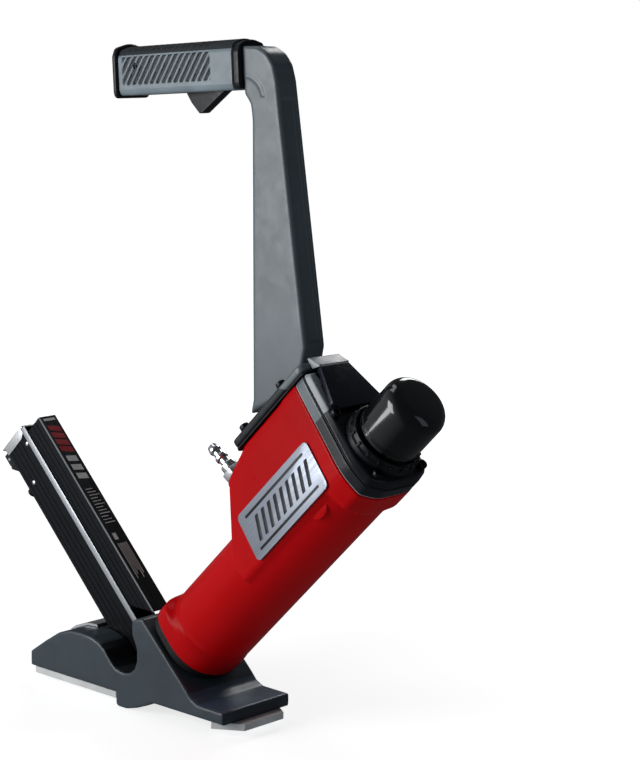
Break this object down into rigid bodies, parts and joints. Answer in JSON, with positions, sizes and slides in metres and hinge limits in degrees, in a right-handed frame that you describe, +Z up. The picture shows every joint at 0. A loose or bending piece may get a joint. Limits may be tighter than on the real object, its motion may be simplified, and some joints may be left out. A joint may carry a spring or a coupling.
{
  "type": "flooring nailer",
  "caption": "Mallet-driven pneumatic flooring nailer: leaning cylinder on a flat shoe, slanted cleat magazine, upright post with a horizontal grip and a capped strike head.",
  "frame": {"origin": "middle of the rear sole plate's underside, the face that lies on the floorboard", "axes": "+X from the rear sole towards the fence and the front sole, the side the body leans to; +Y to the tool's left; +Z up, square to the soles"},
  "size_m": [0.5005, 0.0802, 0.5676],
  "materials": {
    "grey_casting": "satin blue-grey paint",
    "red_gloss": "gloss red paint",
    "black_satin": "satin",
    "black_gloss": "gloss",
    "black_anodised": "satin",
    "grip_rubber": "satin",
    "black_rubber": "matte",
    "steel": "satin",
    "black_steel": "black oxide",
    "aluminium": "satin",
    "chrome": "polished",
    "brass": "satin",
    "white_sole": "satin"
  },
  "bodies": {
    "frame": {"shoe_casting": "grey_casting", "handle_casting": "grey_casting", "head_adapter": "grey_casting", "head_plate": "grey_casting", "housing": "red_gloss", "exhaust_cover": "black_satin", "cap_collar": "black_satin", "grip_collar": "black_satin", "grip_end_cap": "black_satin", "magazine_rail": "black_anodised", "magazine_cover": "black_anodised", "latch_ear_left": "black_anodised", "latch_ear_right": "black_anodised", "grip_sleeve": "grip_rubber", "nose_spacer": "black_rubber", "head_gasket": "black_rubber", "handle_gasket": "black_rubber", "bumper": "black_rubber", "driver_guide": "steel", "feed_throat": "steel", "magazine_mount": "steel", "sole_screw_1": "steel", "sole_screw_2": "steel", "sole_screw_3": "steel", "sole_screw_4": "steel", "shoe_stud_1": "steel", "shoe_stud_2": "steel", "inlet_bushing": "steel", "trigger_pin": "steel", "latch_pin": "steel", "head_screw_1": "black_steel", "head_screw_2": "black_steel", "head_screw_3": "black_steel", "head_screw_4": "black_steel", "handle_screw_1": "black_steel", "handle_screw_2": "black_steel", "handle_screw_3": "black_steel", "handle_screw_4": "black_steel", "grip_screw": "black_steel", "badge_plate": "aluminium", "cylinder_sleeve": "aluminium", "side_strip_left": "aluminium", "side_strip_right": "aluminium", "rear_bracket": "aluminium", "air_plug": "chrome", "trigger_valve_body": "brass", "rear_sole_plate": "white_sole", "front_sole_plate": "white_sole"},
    "striker": {"strike_cap": "black_gloss", "ram_rod": "steel", "firing_valve": "black_rubber", "cap_spring": "steel"},
    "driver": {"piston": "aluminium", "piston_seal": "black_rubber", "driver_blade": "steel"},
    "trigger_lever": {"trigger": "black_satin"},
    "trigger_valve": {"trigger_valve_stem": "steel"},
    "pusher_carriage": {"pusher": "steel", "pusher_spring": "steel"},
    "latch": {"latch_lever": "black_satin"}
  },
  "joints": [
    {"name": "strike_stroke", "type": "slide", "parent": "frame", "child": "striker", "axis": [-0.7071, 0, -0.7071], "range_m": [0, 0.009], "stiffness_N_per_m": 1500, "springref_m": -0.008, "deforming": ["cap_spring"]},
    {"name": "drive_stroke", "type": "slide", "parent": "frame", "child": "driver", "axis": [-0.7071, 0, -0.7071], "range_m": [0, 0.09]},
    {"name": "trigger_pull", "type": "hinge", "parent": "frame", "child": "trigger_lever", "pos_m": [0.1515, 0, 0.53075], "axis": [0, 1, 0], "range_deg": [0, 8], "stiffness_Nm_per_rad": 0.8, "springref_deg": -5.73},
    {"name": "valve_lift", "type": "slide", "parent": "frame", "child": "trigger_valve", "axis": [-0.0698, 0, 0.9976], "range_m": [0, 0.0048]},
    {"name": "pusher_travel", "type": "slide", "parent": "frame", "child": "pusher_carriage", "axis": [0.7071, 0, -0.7071], "range_m": [0, 0.128]},
    {"name": "latch_swing", "type": "hinge", "parent": "frame", "child": "latch", "pos_m": [-0.12198, 0, 0.17786], "axis": [0, 1, 0], "range_deg": [0, 35], "stiffness_Nm_per_rad": 0.05, "springref_deg": -11.46}
  ],
  "couplings": [
    {"joint": "valve_lift", "follows": "trigger_pull", "m_per_rad": 0.0335}
  ]
}
